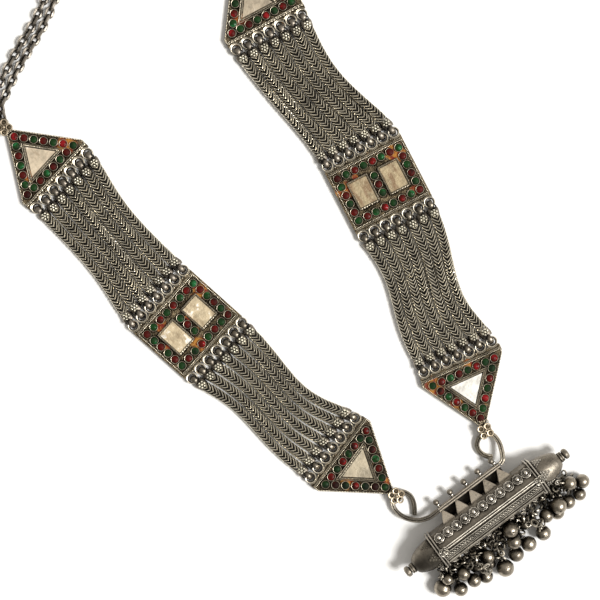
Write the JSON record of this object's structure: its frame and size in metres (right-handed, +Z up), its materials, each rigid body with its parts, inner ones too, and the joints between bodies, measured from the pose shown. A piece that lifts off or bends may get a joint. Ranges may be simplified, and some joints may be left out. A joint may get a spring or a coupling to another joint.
{
  "type": "long necklace",
  "caption": "Long silver necklace with a six-sided amulet tube, bells, jewelled plaques, woven chain straps and a cable chain, lying flat.",
  "frame": {"origin": "on the surface that the necklace lies on, under the middle of its bounding box", "axes": "+X along the amulet tube, +Y from the bells towards the back of the neck, +Z up from the surface"},
  "size_m": [0.1908, 0.4008, 0.019],
  "materials": {
    "silver": "worn silver with dark tarnish in its recesses",
    "old_silver": "grey-brown tarnished silver",
    "ruby_glass": "domed dark red glass over foil",
    "emerald_glass": "domed dark green glass over foil",
    "mirror": "old foil-backed mirror glass, spotted with rust"
  },
  "bodies": {
    "root": {"amulet": "silver", "hook_left": "silver", "hook_right": "silver", "bells_01": "old_silver", "bells_02": "old_silver", "bells_03": "old_silver", "bells_04": "old_silver", "bells_05": "old_silver", "bells_06": "old_silver", "bells_07": "old_silver", "bells_08": "old_silver", "bells_09": "old_silver", "bells_10": "old_silver", "bells_11": "old_silver", "plaque_lower_left": "silver", "plaque_lower_right": "silver", "plaque_mid_left": "silver", "plaque_mid_right": "silver", "plaque_upper_left": "silver", "plaque_upper_right": "silver", "red_stones_lower_left": "ruby_glass", "red_stones_lower_right": "ruby_glass", "red_stones_mid_left": "ruby_glass", "red_stones_mid_right": "ruby_glass", "red_stones_upper_left": "ruby_glass", "red_stones_upper_right": "ruby_glass", "green_stones_lower_left": "emerald_glass", "green_stones_lower_right": "emerald_glass", "green_stones_mid_left": "emerald_glass", "green_stones_mid_right": "emerald_glass", "green_stones_upper_left": "emerald_glass", "green_stones_upper_right": "emerald_glass", "mirror_lower_left": "mirror", "mirror_lower_right": "mirror", "mirrors_mid_left": "mirror", "mirrors_mid_right": "mirror", "mirror_upper_left": "mirror", "mirror_upper_right": "mirror", "strap_lower_left": "old_silver", "strap_lower_right": "old_silver", "strap_upper_left": "old_silver", "strap_upper_right": "old_silver", "end_ring_left": "silver", "end_ring_right": "silver", "back_chain_inner": "old_silver", "back_chain_outer": "old_silver"}
  },
  "joints": []
}
